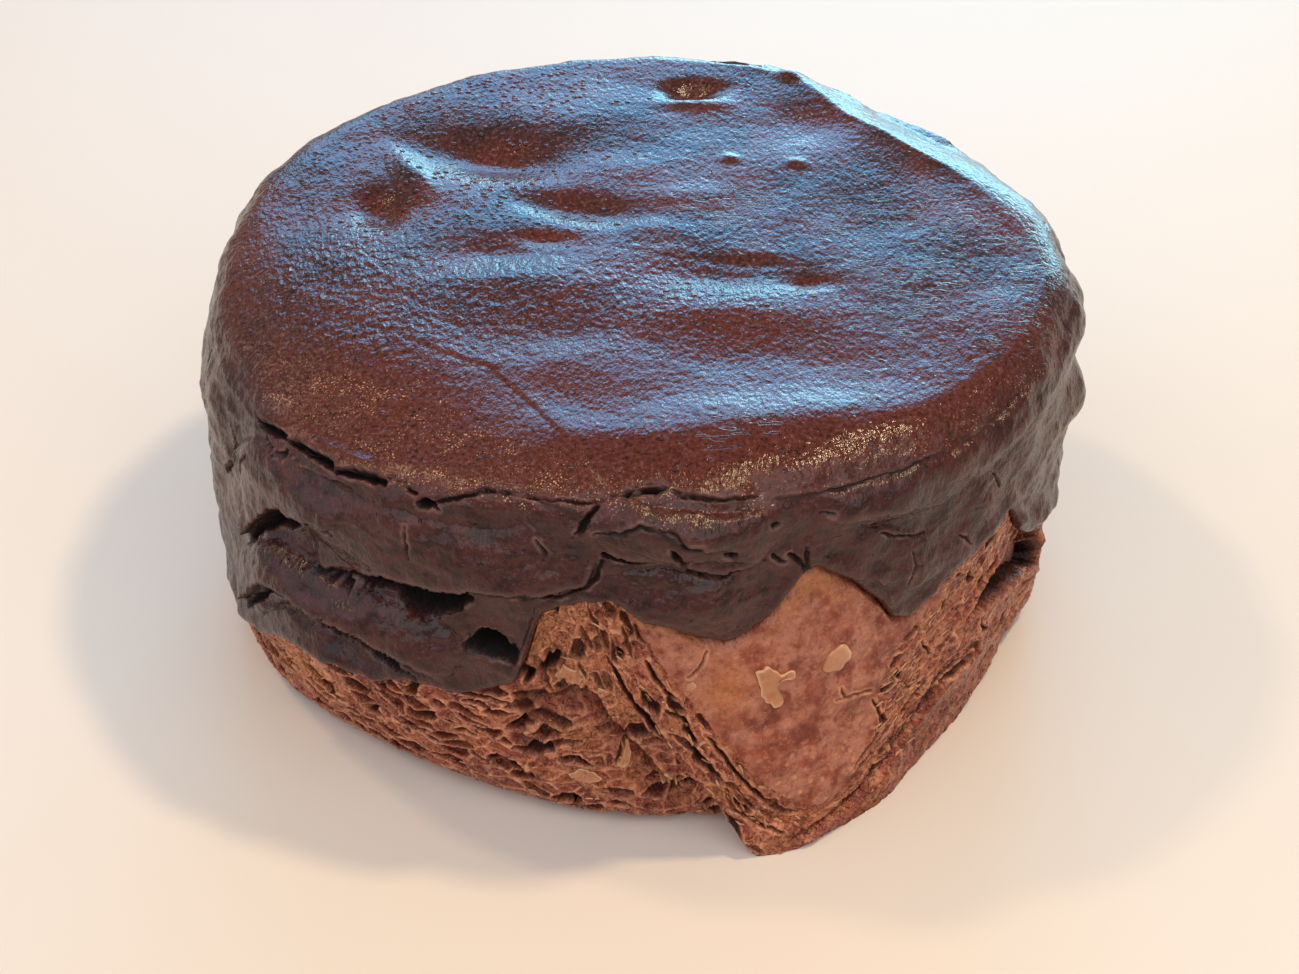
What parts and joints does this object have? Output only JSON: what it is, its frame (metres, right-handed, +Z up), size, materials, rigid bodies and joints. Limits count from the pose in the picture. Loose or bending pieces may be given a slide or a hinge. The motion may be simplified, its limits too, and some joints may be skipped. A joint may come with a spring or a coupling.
{
  "type": "kouign amann",
  "caption": "Round laminated pastry with a dough corner folded over its side, under a thick dark chocolate coat that ends in uneven drips part way down.",
  "frame": {"origin": "on the flat base, under the middle of the object's bounding box", "axes": "+Z up, out of the chocolate top; -Y towards the front, where the folded dough corner is; +X to the right"},
  "size_m": [0.0906, 0.0892, 0.0425],
  "materials": {
    "baked_dough": "baked laminated dough, caramelised, satin",
    "dark_chocolate": "set dark chocolate, soft sheen"
  },
  "bodies": {
    "root": {"laminated_dough": "baked_dough", "chocolate_coat": "dark_chocolate"}
  },
  "joints": []
}
